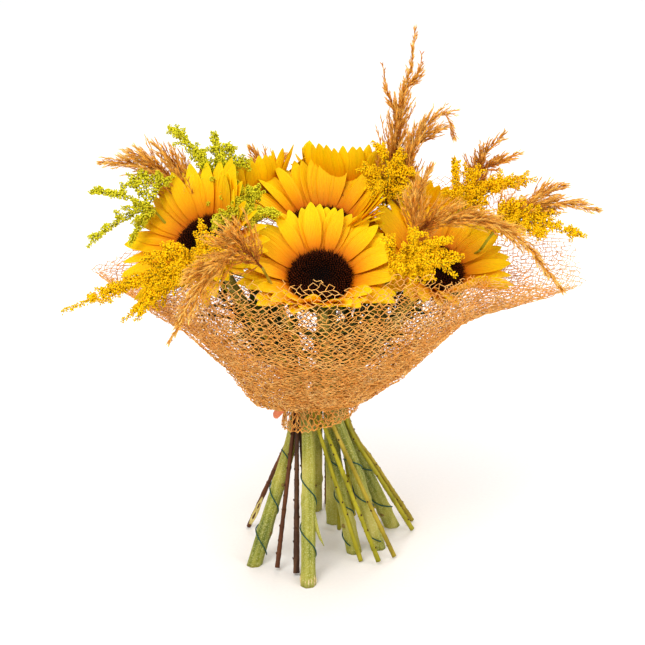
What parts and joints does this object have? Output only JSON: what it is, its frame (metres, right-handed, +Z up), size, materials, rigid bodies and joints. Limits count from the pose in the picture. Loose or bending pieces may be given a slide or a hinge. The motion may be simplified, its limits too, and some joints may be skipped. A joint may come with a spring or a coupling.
{
  "type": "bunch of sunflowers",
  "caption": "Hand-tied bunch of sunflowers with goldenrod and dried reed plumes, its stems crossed in a spiral and tied, wrapped in an orange net, standing on its cut ends",
  "frame": {"origin": "middle of the footprint of the whole bunch, on the surface that its cut stems stand on", "axes": "+Z up along the bunch from the cut stems to the blooms, -Y towards the front that the picture shows, +X to the right in the picture"},
  "size_m": [0.5306, 0.3444, 0.5333],
  "materials": {
    "sunflower_green": "fuzzy ribbed green stalk",
    "petal_yellow": "soft satin golden petal",
    "seed_brown": "dark brown, rough with florets",
    "goldenrod_stem": "yellow-green thin stalk",
    "goldenrod_lime": "lime-yellow flower buds",
    "goldenrod_yellow": "golden yellow flower clusters",
    "reed_brown": "dry brown stalk",
    "reed_tan": "dry tan feathery plume",
    "wire_green": "dark green coated wire",
    "net_orange": "matte orange fibre net",
    "ribbon_salmon": "satin salmon ribbon"
  },
  "bodies": {
    "root": {"sunflower_1_stem": "sunflower_green", "sunflower_1_petals": "petal_yellow", "sunflower_1_disc": "seed_brown", "sunflower_2_stem": "sunflower_green", "sunflower_2_petals": "petal_yellow", "sunflower_2_disc": "seed_brown", "sunflower_3_stem": "sunflower_green", "sunflower_3_petals": "petal_yellow", "sunflower_3_disc": "seed_brown", "sunflower_4_stem": "sunflower_green", "sunflower_4_petals": "petal_yellow", "sunflower_4_disc": "seed_brown", "sunflower_5_stem": "sunflower_green", "sunflower_5_petals": "petal_yellow", "sunflower_5_disc": "seed_brown", "sunflower_6_stem": "sunflower_green", "sunflower_6_petals": "petal_yellow", "sunflower_6_disc": "seed_brown", "sunflower_7_stem": "sunflower_green", "sunflower_7_petals": "petal_yellow", "sunflower_7_disc": "seed_brown", "goldenrod_1_stem": "goldenrod_stem", "goldenrod_1_plume": "goldenrod_lime", "goldenrod_2_stem": "goldenrod_stem", "goldenrod_2_plume": "goldenrod_lime", "goldenrod_3_stem": "goldenrod_stem", "goldenrod_3_plume": "goldenrod_yellow", "goldenrod_4_stem": "goldenrod_stem", "goldenrod_4_plume": "goldenrod_lime", "goldenrod_5_stem": "goldenrod_stem", "goldenrod_5_plume": "goldenrod_yellow", "goldenrod_6_stem": "goldenrod_stem", "goldenrod_6_plume": "goldenrod_yellow", "goldenrod_7_stem": "goldenrod_stem", "goldenrod_7_plume": "goldenrod_yellow", "goldenrod_8_stem": "goldenrod_stem", "goldenrod_8_plume": "goldenrod_yellow", "reed_1_stem": "reed_brown", "reed_1_plume": "reed_tan", "reed_2_stem": "reed_brown", "reed_2_plume": "reed_tan", "reed_3_stem": "reed_brown", "reed_3_plume": "reed_tan", "reed_4_stem": "reed_brown", "reed_4_plume": "reed_tan", "reed_5_stem": "reed_brown", "reed_5_plume": "reed_tan", "reed_6_stem": "reed_brown", "reed_6_plume": "reed_tan", "reed_7_stem": "reed_brown", "reed_7_plume": "reed_tan", "reed_8_stem": "reed_brown", "reed_8_plume": "reed_tan", "florist_wire_1": "wire_green", "florist_wire_2": "wire_green", "florist_wire_3": "wire_green", "florist_wire_4": "wire_green", "florist_wire_5": "wire_green", "net_wrap": "net_orange", "ribbon": "ribbon_salmon"}
  },
  "joints": []
}
